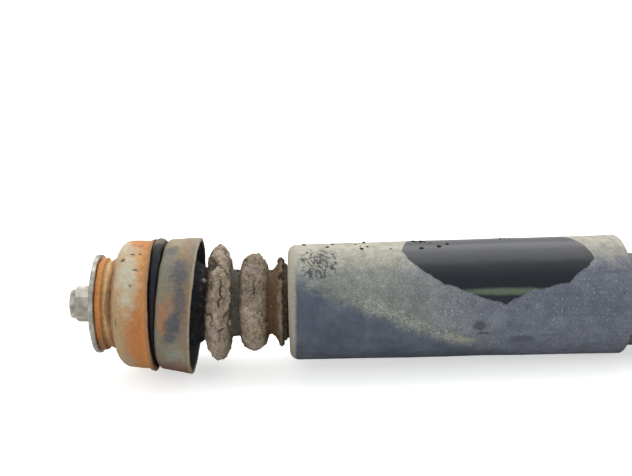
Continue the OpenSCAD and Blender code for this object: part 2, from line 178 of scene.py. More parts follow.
for name, place, size, power in (("ceiling_lamp", (-0.35, 0.62, 1.05), 1.3, 10.5),
                                 ("window_lamp", (-1.15, -0.85, 0.70), 0.8, 4.5)):
    lamp_data = bpy.data.lights.new(name, "AREA")
    lamp_data.shape = "SQUARE"
    lamp_data.size = size
    lamp_data.energy = power
    lamp = bpy.data.objects.new(name, lamp_data)
    lamp.location = place
    lamp.rotation_euler = (Vector((-0.35, 0, 0)) - lamp.location).to_track_quat("-Z", "Y").to_euler()
    scene.collection.objects.link(lamp)
scene.view_settings.view_transform = "Standard"


# ---- Lock nut ----
# A steel M12 nut, cold formed and zinc plated, 17 mm across its flats. Its crown is squeezed in three
# places, so that it grips the rod's thread.


def arc(x, radius, size, start, end, steps=6):
    """Points (x, radius) of a round stretch of an outline. The angle runs from +x towards a larger radius."""
    turns = [math.radians(start + (end - start) * i / steps) for i in range(steps + 1)]
    return [(x + size * math.cos(a), radius + size * math.sin(a)) for a in turns]


def fine(outline, step, closed=True):
    """The same outline with points no further apart than step."""
    ends = outline[1:] + outline[:1] if closed else outline[1:]
    points = []
    for (xa, ra), (xb, rb) in zip(outline, ends):
        parts = max(1, math.ceil(math.hypot(xb - xa, rb - ra) / step))
        points += [(xa + (xb - xa) * i / parts, ra + (rb - ra) * i / parts) for i in range(parts)]
    return points if closed else points + outline[-1:]


def turned(outline, steps, closed=True):
    """A mesh turned about the damper's axis from an outline of (x, radius) points in millimetres."""
    bm = bmesh.new()
    points = [bm.verts.new((x / 1000, 0, radius / 1000)) for x, radius in outline]
    edges = [bm.edges.new(pair) for pair in zip(points, points[1:] + points[:1] if closed else points[1:])]
    bmesh.ops.spin(bm, geom=points + edges, cent=(0, 0, 0), axis=(1, 0, 0), angle=math.tau, steps=steps,
                   use_merge=True)
    bmesh.ops.remove_doubles(bm, verts=bm.verts, dist=1e-6)
    bmesh.ops.recalc_face_normals(bm, faces=bm.faces)
    return bm


def roughen(bm, height, size, seed=0, octaves=4):
    """Moves the surface in and out by up to about height, with lumps of that size, both in millimetres."""
    bm.normal_update()
    shift = Vector((seed * 7.3, seed * 3.1, seed * 5.7))
    moves = [v.normal * (height / 1000 * noise.fractal(v.co * (1000 / size) + shift, 0.8, 2.0, octaves))
             for v in bm.verts]
    for v, move in zip(bm.verts, moves):
        v.co += move


def settle(name, bm, body, finish, stands_for=(), crease=40):
    """Makes a piece of a mesh. Edges over crease degrees stay sharp. Without a body it rides none."""
    for face in bm.faces:
        face.smooth = True
    for edge in bm.edges:
        edge.smooth = len(edge.link_faces) == 2 and edge.calc_face_angle() < math.radians(crease)
    mesh = bpy.data.meshes.new(name)
    bm.to_mesh(mesh)
    bm.free()
    mesh.materials.append(finish)
    piece = bpy.data.objects.new(name, mesh)
    scene.collection.objects.link(piece)
    if body:
        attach(piece, body)
    if stands_for:
        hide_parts(*stands_for)
    return piece


def finish_of(name, roughness, metallic=0.0):
    """A new material. Returns it with its node tree, its shader and the object's own coordinates."""
    made = bpy.data.materials.new(name)
    made.use_nodes = True
    shader = made.node_tree.nodes["Principled BSDF"]
    shader.inputs["Roughness"].default_value = roughness
    shader.inputs["Metallic"].default_value = metallic
    place = add(made.node_tree, "TexCoord").outputs["Object"]
    return made, made.node_tree, shader, place


def paint(tree, shader, relief=None, **values):
    """Links nodes to the shader's sockets, named with _ for each space. Relief is a node of height, how
    strong it is and how deep, in metres."""
    if relief:
        height, strength, depth = relief
        values["Normal"] = add(tree, "Bump", {"Height": height, "Strength": strength, "Distance": depth})
    for name, node in values.items():
        tree.links.new(next(s for s in node.outputs if s.enabled), shader.inputs[name.replace("_", " ")])


def clouded(tree, place, size, stops, detail=6, roughness=0.65):
    """A colour that drifts through the stops in clouds of that size in millimetres. Returns the clouds
    too."""
    cloud = add(tree, "TexNoise", {"Vector": place, "Scale": 1000 / size, "Detail": detail,
                                   "Roughness": roughness})
    return add(tree, "ValToRGB", {"Fac": cloud}, stops=stops), cloud


# Zinc plating, passivated and weathered: a dull grey with white bloom and brown dust, still metallic below.
zinc, tree, shader, place = finish_of("weathered_zinc_plate", 0.5, 0.55)
grey, _ = clouded(tree, place, 5, [(0.3, "6f6d66"), (0.5, "9c998f"), (0.68, "bdb8ac")])
dirt = add(tree, "TexNoise", {"Vector": place, "Scale": 1000 / 9, "Detail": 8, "Roughness": 0.7})
dirt = add(tree, "MapRange", {"Value": dirt, "From Min": 0.52, "From Max": 0.68},
           interpolation_type="SMOOTHSTEP")
shade = add(tree, "Mix", {"Factor": dirt, "A": grey, "B": "8d7f68"}, data_type="RGBA")
grit = add(tree, "TexNoise", {"Vector": place, "Scale": 1000 / 0.9, "Detail": 4, "Roughness": 0.6})
paint(tree, shader, (grit, 0.35, 0.0002), Base_Color=shade)

nut_low, nut_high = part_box("top_nut")
nut_extra = 1.6
nut_left, nut_right = nut_low.x * 1000 - nut_extra, nut_high.x * 1000
nut_flats = 17
nut_turn = 12
crown_height, crown_radius = 2.6, 7.8
dent, dent_width = 0.5, 14
thread_radius = 6.05
corner_radius = nut_flats / 2 / math.cos(math.radians(30))
crown_left = nut_left + crown_height
outline = [(nut_right, thread_radius), (nut_right, corner_radius - 0.7), (nut_right - 0.5, corner_radius),
           (crown_left + 1.0, corner_radius), (crown_left, corner_radius - 1.5), (crown_left, 8.0)]
outline += arc(nut_left + 0.7, 6.9, 0.7, 90, 180, 4) + [(nut_left, thread_radius)]
bm = turned(fine(outline, 0.8), 120)
for v in bm.verts:
    radius = math.hypot(v.co.y, v.co.z) * 1000
    angle = math.degrees(math.atan2(v.co.y, v.co.z))
    if v.co.x * 1000 > crown_left - 0.01:
        limit = nut_flats / 2 / math.cos(math.radians((angle - nut_turn) % 60 - 30))
    else:
        off_dent = abs((angle - 30) % 120 - 60)
        limit = crown_radius - dent * max(0, 1 - off_dent / dent_width)
    if radius > limit:
        v.co.yz *= limit / radius
roughen(bm, 0.12, 4, seed=1)
settle("lock_nut", bm, "mount", zinc, ["top_nut"], crease=22)

# The rod's end shows in the nut's crown: a steel thread, blackened by old grease.
rod_end, tree, shader, place = finish_of("greasy_thread_steel", 0.45, 0.7)
shade, _ = clouded(tree, place, 2, [(0.35, "3a3631"), (0.65, "7b766c")], 5, 0.5)
paint(tree, shader, Base_Color=shade)
rod_extra, half_pitch = 1.2, 0.4
rod_left = cad_low.x * 1000 - rod_extra
thread = [(rod_left + 0.6 + i * half_pitch, 5.9 - 0.35 * (i % 2)) for i in range(8)]
bm = turned([(rod_left - 0.02, 0), (rod_left - 0.02, 5.0)] + thread + [(rod_left + 3.6, 0)], 72, closed=False)
settle("rod_end", bm, "mount", rod_end)


# ---- Top washer ----
# A stamped steel washer, zinc plated, 52 mm across. Its edge is rolled by the punch on one side and bruised.

washer_low, washer_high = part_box("top_washer")
washer_left, washer_right, washer_radius = washer_low.x * 1000, washer_high.x * 1000, washer_high.y * 1000
edge = 0.9
outline = [(washer_right, thread_radius), (washer_right, washer_radius - 0.3),
           (washer_right - 0.3, washer_radius)]
outline += arc(washer_left + edge, washer_radius - edge, edge, 90, 180, 5) + [(washer_left, thread_radius)]
bm = turned(fine(outline, 1.0), 160)
roughen(bm, 0.25, 14, seed=2)
settle("washer", bm, "mount", zinc, ["top_washer"])


# ---- Spigot collar ----
# A turned steel collar with a groove, which centres the mount in the car body. Bare steel that has rusted
# to a flaky orange, darker in the groove where grease held the dust.


def unroll(tree, place):
    """The damper's side laid flat: x is the length in millimetres, y the height in degrees round its axis,
    from 0 at the front to 90 on top."""
    split = add(tree, "SeparateXYZ", {"Vector": place})
    along = add(tree, "Math", {0: split.outputs["X"], 1: 1000.0}, operation="MULTIPLY")
    front = add(tree, "Math", {0: split.outputs["Y"], 1: -1.0}, operation="MULTIPLY")
    turn = add(tree, "Math", {0: split.outputs["Z"], 1: front}, operation="ARCTAN2")
    turn = add(tree, "Math", {0: turn, 1: 180 / math.pi}, operation="MULTIPLY")
    return add(tree, "CombineXYZ", {"X": along, "Y": turn})


def down_from(tree, place, ragged, wander, start, end):
    """How far along the damper a place is: 0 at start and 1 at end, in millimetres. It wanders by up to
    about half of wander, in metres."""
    along = add(tree, "SeparateXYZ", {"Vector": place}).outputs["X"]
    along = add(tree, "Math", {0: ragged, 1: wander, 2: along}, operation="MULTIPLY_ADD")
    return add(tree, "MapRange", {"Value": along, "From Min": start / 1000, "From Max": end / 1000})


def spot(tree, flat, ragged, centre, size, edge=0.25, torn=1.6):
    """A patch with a torn outline on the flat side: 1 inside, 0 outside. Centre is (mm, degrees), size the
    same way, edge how soft it is and torn how ragged."""
    away = add(tree, "VectorMath", {0: flat, 1: (*centre, 0)}, operation="SUBTRACT")
    away = add(tree, "VectorMath", {0: away, 1: (1e4, 180, 1), 2: (-1e4, -180, -1)}, operation="WRAP")
    away = add(tree, "VectorMath", {0: away, 1: (1 / size[0], 1 / size[1], 0)}, operation="MULTIPLY")
    away = add(tree, "VectorMath", {0: away}, operation="LENGTH").outputs["Value"]
    away = add(tree, "Math", {0: ragged, 1: torn, 2: away}, operation="MULTIPLY_ADD")
    return add(tree, "MapRange", {"Value": away, "From Min": 1 + torn / 2 + edge,
                                  "From Max": 1 + torn / 2 - edge}, interpolation_type="SMOOTHSTEP")


def stain(tree, under, masks, colour, share=1.0):
    """Lays a colour over another where all the masks are. One mask needs no tuple."""
    first, *others = masks if isinstance(masks, tuple) else (masks,)
    for mask in [*others, share]:
        first = add(tree, "Math", {0: first, 1: mask}, operation="MULTIPLY")
    return add(tree, "Mix", {"Factor": first, "A": under, "B": colour}, data_type="RGBA")


def mottled(tree, colour, place, size, low, high, detail=5):
    """Breaks a colour up by lighter and darker grains of that size in millimetres. Returns the grain too."""
    grain = add(tree, "TexNoise", {"Vector": place, "Scale": 1000 / size, "Detail": detail, "Roughness": 0.7})
    lift = add(tree, "MapRange", {"Value": grain, "From Min": 0.3, "From Max": 0.7, "To Min": low,
                                  "To Max": high})
    colour = add(tree, "Mix", {"Factor": 1.0, "A": colour, "B": lift}, data_type="RGBA",
                 blend_type="MULTIPLY")
    return colour, grain


collar_low, collar_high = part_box("spigot_collar")
collar_left, collar_right, collar_radius = collar_low.x * 1000, collar_high.x * 1000, collar_high.z * 1000
hollow_radius = 16
flange, ridge, groove_depth = 3.4, 2.3, 1.7
outline = [(collar_right, hollow_radius), (collar_right, collar_radius - 1.1)]
outline += arc(collar_right - 0.9, collar_radius - 1.3, 0.8, 40, 140, 5)
outline += [(collar_right - ridge - 0.7, collar_radius - groove_depth),
            (collar_left + flange + 0.8, collar_radius - groove_depth)]
outline += arc(collar_left + flange - 0.8, collar_radius - 0.8, 0.8, 0, 90, 4)
outline += arc(collar_left + 0.8, collar_radius - 0.8, 0.8, 90, 180, 4) + [(collar_left, hollow_radius)]
bm = turned(fine(outline, 0.7), 200)
roughen(bm, 0.35, 5, seed=3)
roughen(bm, 0.12, 1.6, seed=4)

# Rust on bare steel: orange on the flange, ochre and streaked in the groove, brown on the ridge and below.
collar_rust, tree, shader, place = finish_of("flaky_orange_rust", 0.85)
flat = unroll(tree, place)
ragged = add(tree, "TexNoise", {"Vector": place, "Scale": 1000 / 6, "Detail": 6, "Roughness": 0.65})
along = down_from(tree, place, ragged, 0.003, collar_left + 1.5, collar_right + 1.5)
colour = add(tree, "ValToRGB", {"Fac": along}, stops=[
    (0.0, "b57338"), (0.3, "bf7c40"), (0.42, "b48a56"), (0.66, "c9a674"), (0.8, "9f7a50"), (1.0, "a07048")])
streak = add(tree, "VectorMath", {0: flat, 1: (0.25, 0.5, 0)}, operation="MULTIPLY")
streak = add(tree, "TexNoise", {"Vector": streak, "Scale": 1.0, "Detail": 3})
streak = add(tree, "MapRange", {"Value": streak, "From Min": 0.52, "From Max": 0.62})
in_groove = add(tree, "MapRange", {"Value": along, "From Min": 0.3, "From Max": 0.42})
colour = stain(tree, colour, (streak, in_groove), "8a673f", 0.35)
colour = stain(tree, colour, spot(tree, flat, ragged, (collar_right - 1.2, 18), (2.0, 30)), "6a4b35", 0.7)
colour = stain(tree, colour, spot(tree, flat, ragged, (collar_right - 5, -48), (6, 34), 0.6), "7b5436", 0.7)
colour, grain = mottled(tree, colour, place, 1.6, 0.72, 1.26)
paint(tree, shader, (grain, 0.6, 0.0003), Base_Color=colour)
settle("spigot_collar_rusted", bm, "mount", collar_rust, ["spigot_collar"])


# ---- Upper cup ----
# A cup pressed from 1.8 mm steel sheet, its mouth turned out to a small lip. Its zinc plating is left as a
# grey patch on the shoulder, and the rest has rusted: tan near the neck, orange at the mouth and below.

upper_low, upper_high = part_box("upper_cup")
upper_left, upper_right, lip_radius = upper_low.x * 1000, upper_high.x * 1000, upper_high.z * 1000
sheet_metal = 1.8
wall_radius = lip_radius - 1
neck_radius = collar_radius + 0.3
roll, drop = 6.5, 1.6
roll_x = upper_left + drop + roll
outline = [(upper_right, wall_radius - sheet_metal), (upper_right, lip_radius), (upper_right - 1, lip_radius),
           (upper_right - 3, wall_radius)]
outline += arc(roll_x, wall_radius - roll, roll, 90, 170, 10)
outline += [(upper_left + drop, neck_radius), (upper_left, neck_radius - 0.4), (upper_left, hollow_radius),
            (upper_left + sheet_metal, hollow_radius),
            (upper_left + drop + sheet_metal, neck_radius - sheet_metal)]
outline += arc(roll_x, wall_radius - roll, roll - sheet_metal, 170, 90, 8)
bm = turned(fine(outline, 0.9), 240)
roughen(bm, 0.45, 18, seed=5)
roughen(bm, 0.16, 2.5, seed=6)

# Its mouth bells out towards the bottom.
bell, bell_start, bell_end = 0.045, 5, 19
for v in bm.verts:
    open_share = (v.co.x * 1000 - upper_left - bell_start) / (bell_end - bell_start)
    low_share = max(0.0, -v.co.z / 0.034)
    v.co.yz *= 1 + bell * max(0.0, min(1.0, open_share)) * low_share

# Rust over zinc: torn grey patches of the plating are left, and dark spots where it has flaked.
cup_rust, tree, shader, place = finish_of("orange_rust_on_zinc", 0.8)
flat = unroll(tree, place)
ragged = add(tree, "TexNoise", {"Vector": place, "Scale": 1000 / 8, "Detail": 7, "Roughness": 0.65})
torn = add(tree, "TexNoise", {"Vector": place, "Scale": 1000 / 1.5, "Detail": 4, "Roughness": 0.65})
along = down_from(tree, place, ragged, 0.016, upper_left + 7, upper_right + 8)
colour = add(tree, "ValToRGB", {"Fac": along}, stops=[
    (0.0, "8a6844"), (0.28, "a28460"), (0.48, "b08a5d"), (0.66, "b07e4a"), (0.82, "b57e45"),
    (1.0, "96693f")])
middle = (upper_left + upper_right) / 2
colour = stain(tree, colour, spot(tree, flat, ragged, (middle + 3, -8), (6, 34), 0.7), "a4602a", 0.75)
colour = stain(tree, colour, spot(tree, flat, ragged, (middle - 5, -14), (4, 40), 0.6), "99805b", 0.7)
colour = stain(tree, colour, spot(tree, flat, ragged, (middle, 96), (9, 18), 0.5), "b06c30", 0.8)
for centre, size in (((middle - 0.6, 47), (5.0, 32)), ((middle - 6, 88), (4, 18)),
                     ((middle - 2, 165), (5, 24)), ((middle, -120), (6, 22))):
    plated = spot(tree, flat, ragged, centre, size, 0.6, 2.6)
    colour = stain(tree, colour, plated, "b0ab95", 0.88)
colour = stain(tree, colour, spot(tree, flat, torn, (middle - 2, -42), (3, 9), 0.6), "8c8977", 0.6)
for centre, size in (((middle + 0.8, 71), (1.1, 1.5)), ((middle + 4.6, 71), (0.8, 1.3)),
                     ((middle + 3, 52), (1.4, 1.0)), ((middle + 1.5, 37), (0.8, 1.0)),
                     ((middle - 4, 64), (1.4, 1.8)), ((middle - 6, 4), (0.5, 3.0)),
                     ((middle + 4, 84), (1.6, 0.9)), ((middle, 130), (1.5, 2.4))):
    colour = stain(tree, colour, spot(tree, flat, torn, centre, size, 0.5, 3.2), "40362c", 0.85)
edge = add(tree, "MapRange", {"Value": add(tree, "SeparateXYZ", {"Vector": place}).outputs["X"],
                              "From Min": (upper_right - 1.6) / 1000, "From Max": (upper_right - 0.7) / 1000})
colour = stain(tree, colour, edge, "8a6544", 0.7)
colour, grain = mottled(tree, colour, place, 1.5, 0.8, 1.2)
paint(tree, shader, (grain, 0.5, 0.0003), Base_Color=colour)
settle("upper_cup_rusted", bm, "mount", cup_rust, ["upper_cup"])


# ---- Seal ring ----
# A moulded rubber ring squeezed between the cups. The lower cup leans, so the ring is thick above, where it
# bulges out under a crust of brown dust, and pinched below.

seal_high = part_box("seal_ring")[1]
cup_lean = math.radians(3.8)
seal_right, seal_radius = seal_high.x * 1000, seal_high.z * 1000
floor_x = seal_right - seal_radius * math.sin(cup_lean) + 0.5
seal_inner = 23.5
half = (floor_x - upper_right + seal_radius * math.sin(cup_lean) + 0.25) / 2
side_radius = lip_radius - 0.3
seal_left = upper_right + 0.05
outline = [(seal_left, seal_inner)] + arc(seal_left + half, side_radius - half, half, 180, 0, 14)
outline += [(seal_left + 2 * half, seal_inner)]
bm = turned(fine(outline, 1.0), 200)
cup_yaw = math.radians(1.8)
cup_turn = Matrix.Rotation(-cup_yaw, 3, "Z") @ Matrix.Rotation(cup_lean, 3, "Y")
floor_centre = Vector((floor_x / 1000, 0, 0))
for v in bm.verts:
    top = math.degrees(math.atan2(v.co.z, -v.co.y)) - 88
    v.co.yz *= 1 + (seal_radius - side_radius) / side_radius * math.exp(-(top / 24) ** 2)
    v.co.x = min(v.co.x, floor_x / 1000 + math.tan(cup_lean) * v.co.z + math.tan(cup_yaw) * v.co.y - 0.00005)
roughen(bm, 0.12, 6, seed=7)

# Nitrile rubber, moulded and aged: blue-black and dull, with dust caked where it bulges out.
rubber, tree, shader, place = finish_of("aged_nitrile_rubber", 0.6)
flat = unroll(tree, place)
colour, cloud = clouded(tree, place, 6, [(0.35, "0b0d14"), (0.65, "171a23")])
colour = stain(tree, colour, spot(tree, flat, cloud, (upper_right + 2, 96), (8, 16), 0.4), "6d6153", 0.9)
colour, grain = mottled(tree, colour, place, 1.0, 0.7, 1.3)
shader.inputs["Specular IOR Level"].default_value = 0.2
paint(tree, shader, (grain, 0.3, 0.0002), Base_Color=colour)
settle("seal_ring_moulded", bm, "mount", rubber, ["seal_ring"])


# ---- Lower cup ----
# The second pressed cup, flared towards its mouth. Years of side load have left it leaning. Its steel has
# gone grey-brown, with dark bare scabs ringed by rust, and it is red-brown along its lowest edge.

mouth_radius = 36.5
floor_radius = 34.8
cup_depth = 18.4
roll = 4
mouth_x = floor_x + cup_depth
outline = [(floor_x + sheet_metal, 22.5), (floor_x, 22.5)]
outline += arc(floor_x + roll, floor_radius - roll, roll, 180, 90, 9)
outline += [(mouth_x - 0.3, mouth_radius), (mouth_x, mouth_radius - 0.3),
            (mouth_x, mouth_radius - sheet_metal)]
outline += arc(floor_x + roll, floor_radius - roll, roll - sheet_metal, 90, 180, 7)
bm = turned(fine(outline, 0.9), 260)
roughen(bm, 0.4, 22, seed=8)
roughen(bm, 0.12, 2.2, seed=9)
# The mouth's edge is marked here for a painted highlight.
rim_highlight_layer = bm.verts.layers.float.new("rim")
for v in bm.verts:
    v[rim_highlight_layer] = 1.0 if v.co.x * 1000 > mouth_x - 0.7 else 0.0
bmesh.ops.rotate(bm, verts=bm.verts, cent=floor_centre, matrix=cup_turn)

# Pressed steel whose plating is gone: dry and grey-brown, greener where some zinc is left.
weathered, tree, shader, place = finish_of("stained_grey_steel", 0.75)
flat = unroll(tree, place)
ragged = add(tree, "TexNoise", {"Vector": place, "Scale": 1000 / 8, "Detail": 7, "Roughness": 0.65})
torn = add(tree, "TexNoise", {"Vector": place, "Scale": 1000 / 3, "Detail": 5, "Roughness": 0.65})
broad = add(tree, "TexNoise", {"Vector": place, "Scale": 1000 / 15, "Detail": 7, "Roughness": 0.62,
                               "Distortion": 0.5})
colour = add(tree, "ValToRGB", {"Fac": broad}, stops=[
    (0.32, "5f5d57"), (0.45, "6d685e"), (0.55, "78694f"), (0.68, "80654b")])
middle = floor_x + cup_depth / 2
for centre, size, shade, share in (((middle + 1, 93), (10, 20), "94846c", 0.8),
                                   ((middle + 0.5, -30), (5.5, 13), "7f8172", 0.8),
                                   ((middle - 6, 40), (3, 60), "6c6a58", 0.7),
                                   ((middle - 1, 14), (7.5, 16), "85664c", 0.7),
                                   ((middle + 6, 62), (3, 50), "80674c", 0.6),
                                   ((middle, -62), (12, 24), "6b432c", 0.85),
                                   ((middle - 5.5, 6), (2.2, 12), "96663f", 0.75),
                                   ((middle, 190), (9, 60), "7d5a3c", 0.6)):
    colour = stain(tree, colour, spot(tree, flat, ragged, centre, size, 0.6, 1.8), shade, share)
for centre, size, share in (((middle + 0.5, 4), (4.4, 9), 0.95), ((middle - 2.5, -8), (3.4, 6), 0.8),
                            ((middle + 3.2, 46), (4.2, 13), 0.8), ((middle + 3.6, 22), (3.4, 15), 0.75),
                            ((middle - 1.5, 74), (3.0, 6), 0.6), ((middle - 2, 140), (5, 15), 0.9),
                            ((middle + 1, -125), (5, 13), 0.9)):
    colour = stain(tree, colour, spot(tree, flat, torn, centre, size, 0.5, 2.2), "45474d", share)
# Painted shade: the cup's inner faces are darkened to near black.
inner_shade = add(tree, "NewGeometry").outputs["Normal"]
outward = add(tree, "VectorMath", {0: place, 1: (0, 1, 1)}, operation="MULTIPLY")
outward = add(tree, "VectorMath", {0: outward}, operation="NORMALIZE")
inner_shade = add(tree, "VectorMath", {0: inner_shade, 1: outward}, operation="DOT_PRODUCT").outputs["Value"]
inner_shade = add(tree, "MapRange", {"Value": inner_shade, "From Min": -0.2, "From Max": -0.5})
colour = stain(tree, colour, inner_shade, "1d1e22", 0.9)
# A painted highlight: pale along the mouth's edge, all round.
colour = stain(tree, colour, add(tree, "Attribute", attribute_name="rim").outputs["Fac"], "a3967c", 0.6)
colour, grain = mottled(tree, colour, place, 1.3, 0.76, 1.24)
paint(tree, shader, (grain, 0.5, 0.0003), Base_Color=colour)
settle("lower_cup_stained", bm, "mount", weathered, ["lower_cup"])


# ---- Mount rubber ----
# The rubber body of the mount fills both cups round the steel sleeve. It shows only as near-black depth in
# the lower cup's mouth, so its own shape stays and it takes the seal ring's rubber.


def coat(finish, *nodes):
    """Gives nodes of the frame a new material."""
    for name in nodes:
        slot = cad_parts[name].material_slots[0]
        slot.link = "OBJECT"
        slot.material = finish


coat(rubber, "mount_rubber")


# ---- Bump stop ----
# A spring of microcellular polyurethane foam with three bulges. It has aged until it crumbles: its skin is
# gone, cracks run along the bulges, and a piece has broken out of the first one's top. Dust and rust fill
# the valleys.

foam_low, foam_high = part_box("bump_stop")
tube_low, tube_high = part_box("dust_tube")
foam_left, foam_right = foam_low.x * 1000, foam_high.x * 1000
crest_a, crest_b, tube_face = foam_left + 21.3, foam_left + 40.3, foam_left + 58.6
foam_bore = 7.3


def bulge(x, radius, left, right, foot, sharp, steps=16):
    """A bulge of the foam from foot to foot, with its own half width on each side. The sharper it is, the
    narrower its crest."""
    points = []
    for i in range(steps + 1):
        a = math.pi * i / steps
        reach = left if a < math.pi / 2 else right
        points.append((x - reach * math.cos(a), foot + (radius - foot) * math.sin(a) ** sharp))
    return points


def on_side(x, degrees, radius):
    """A point of the damper's side, in metres: degrees run from its front, at 0, up to its top, at 90."""
    turn = math.radians(degrees)
    return Vector((x / 1000, -radius / 1000 * math.cos(turn), radius / 1000 * math.sin(turn)))


outline = [(foam_left, 21.5), (foam_left + 2, 23.5), (foam_left + 9.5, 22.5)]
outline += bulge(crest_a, 30.6, 5.9, 6.6, 18.2, 1.1)
outline += bulge(crest_b, 26.2, 7.4, 7.5, 17.6, 1.3)
outline += [(tube_face - 9, 17.0), (tube_face - 7.2, 18.4), (tube_face - 5.6, 20.6), (tube_face - 4.6, 22.9),
            (tube_face - 3.8, 23.4), (tube_face - 3.1, 22.8), (tube_face - 2.7, 20.6),
            (tube_face - 0.8, 20.2), (tube_face - 0.6, 19.3), (tube_face + 2.6, 19.3),
            (tube_face + 2.7, 21.4), (tube_face + 6.4, 21.4), (tube_face + 7, 18.5), (foam_right - 3, 18),
            (foam_right, 15)]
bore = [(foam_right, foam_bore), (foam_left, foam_bore)]
bm = turned(fine(outline, 0.58, closed=False) + fine(bore, 4, closed=False), 300)
crevice_shade_layer = bm.verts.layers.float.new("crevice_shade")
crest_layer = bm.verts.layers.float.new("crest")

# Broken places are (x, degrees, radius out, size, depth), cracks (x, from, to, wander, depth) round the
# foam, and splits (x from, x to, degrees, depth) along it.
broken = [(crest_a - 4.2, 66, 28.5, 6.0, 7.0), (crest_a - 6.0, 92, 27, 4.0, 4.0),
          (crest_a + 0.5, 92, 31.5, 3.5, 1.2), (crest_a + 4.5, 100, 28, 3.0, 2.5),
          (crest_a + 5.5, 8, 25, 2.2, 2.0), (crest_b - 4.5, 88, 24, 2.5, 1.5),
          (crest_a, 200, 30, 6.0, 3.5), (crest_b - 3, 165, 25, 4.5, 2.6),
          (tube_face - 4, 128, 23, 5.0, 3.5), (tube_face - 4, 60, 23, 3.0, 2.0),
          (tube_face - 4, -110, 23, 4.0, 3.0), (crest_a + 3, -120, 29, 4.0, 2.4)]
cracks = [(crest_a + 2.2, 12, 46, 1.2, 2.4), (crest_a - 1.8, -8, 14, 0.8, 1.4),
          (crest_a + 3.0, -26, -6, 1.0, 1.6), (crest_b + 1.0, 26, 52, 1.4, 1.0),
          (crest_a + 1, 150, 230, 2.0, 2.2), (crest_b, 190, 260, 1.6, 1.8)]
splits = [(crest_a - 7, crest_a - 1.5, 10, 2.2), (crest_a + 1, crest_a + 7, 56, 2.0),
          (crest_a - 5, crest_a + 3, 62, 1.6), (crest_a + 2, crest_a + 8, -9, 1.6),
          (crest_a - 6, crest_a + 5, 175, 2.5), (crest_b - 6, crest_b + 2, 215, 2.0)]
chips = [(on_side(x, turn, radius), size, deep) for x, turn, radius, size, deep in broken]
bm.normal_update()
moves = []
for v in bm.verts:
    x, radius = v.co.x * 1000, math.hypot(v.co.y, v.co.z) * 1000
    at = v.co * 1000
    crest = max(0.0, min(1.0, (radius - 19.5 + 1.6 * noise.fractal(at / 5, 0.9, 2.0, 3)) / 4.5))
    if radius < foam_bore + 1 or x > tube_face - 1.2:
        moves.append((v, Vector(), 0.0, crest))
        continue
    turn = math.degrees(math.atan2(at.z, -at.y))
    turn = turn + 360 if turn < -90 else turn
    lump = noise.fractal(at / 10, 0.9, 2.0, 3)
    crumb = noise.fractal(at / 3.0 + Vector((9, 4, 2)), 0.6, 2.1, 4)
    pit = max(0.0, 0.36 - noise.voronoi(at / 2.2)[0][0]) / 0.36
    # How much painted shade a place gets, from its pits, cracks and broken places.
    crevice_shade = 0.6 * pit - 0.55 * crumb
    shift = 0.9 * lump + 0.75 * crumb - 0.6 * pit
    cuts = []
    for line, first, last, wander, deep in cracks:
        if first < turn < last:
            off = abs(x - line - wander * noise.fractal(Vector((line, turn / 7, 3)), 0.8, 2.0, 3))
            off = off / (0.75 + 0.6 * crumb) if crumb > -0.9 else 1
            cuts += [(off, min(1.0, (turn - first) / 5, (last - turn) / 5), deep)]
    for first, last, middle, deep in splits:
        if first < x < last:
            off = abs(turn - middle - 4 * noise.fractal(Vector((x / 3, middle, 5)), 0.8, 2.0, 3)) / 1.3
            cuts += [(off, min(1.0, x - first, last - x), deep)]
    for off, fade, deep in cuts:
        if off < 1:
            shift -= 0.8 * deep * fade * (1 - off * off)
            crevice_shade += 0.8 * fade * (1 - off * off)
    for point, size, deep in chips:
        near = (v.co - point).length * 1000 / size + 0.3 * crumb
        if near < 1:
            fade = min(1.0, 2.2 * (1 - near))
            shift -= deep * fade
            crevice_shade += 0.9 * fade
    high = min(1.0, max(0.2, (radius - 16) / 7))
    sway = 0.0
    if abs(x - crest_a) < 9:
        sway = (1.3 * math.exp(-((turn - 42) / 22) ** 2) - 1.0 * math.exp(-((turn + 25) / 25) ** 2)) * crest
    moves.append((v, v.normal * (shift * high / 1000) + Vector((sway / 1000, 0, 0)), crevice_shade * high, crest))
for v, move, crevice_shade, crest in moves:
    v.co += move
    v[crevice_shade_layer] = crevice_shade
    v[crest_layer] = crest

# Crumbs of foam stand on the bulges and in the valleys, and a few bigger knobs are left of the torn lip.
crumb_count = 220
dice = random.Random(11)
seats = [v for v in bm.verts if math.hypot(v.co.y, v.co.z) > 0.016
         and foam_left + 12 < v.co.x * 1000 < tube_face - 3]
knobs = [(on_side(tube_face - 4.4, 96, 23.0), 1.7), (on_side(tube_face - 3.6, 88, 22.6), 1.3),
         (on_side(tube_face - 8.8, 93, 17.4), 0.9), (on_side(crest_b - 8.6, 92, 18.0), 1.0),
         (on_side(crest_a - 6.5, 50, 24.5), 1.6), (on_side(crest_a + 6.6, -6, 22.5), 1.2)]
seats = dice.sample(seats, crumb_count)
crumbs = [(v.co + v.normal * 0.0001, dice.uniform(0.25, 0.8)) for v in seats] + knobs
for point, size in crumbs:
    turn = Euler((dice.uniform(0, 6), dice.uniform(0, 6), 0)).to_matrix().to_4x4()
    seat = Matrix.Translation(point) @ turn @ Matrix.Diagonal((1, 0.75, 0.65, 1))
    made = bmesh.ops.create_icosphere(bm, subdivisions=2 if size > 0.85 else 1, radius=size / 1000,
                                      matrix=seat)
    for part in made["verts"]:
        part.co += (part.co - point) * 0.6 * noise.noise(part.co * (900 / size))
        part[crevice_shade_layer] = dice.uniform(-0.3, 0.3)
        part[crest_layer] = 0.8

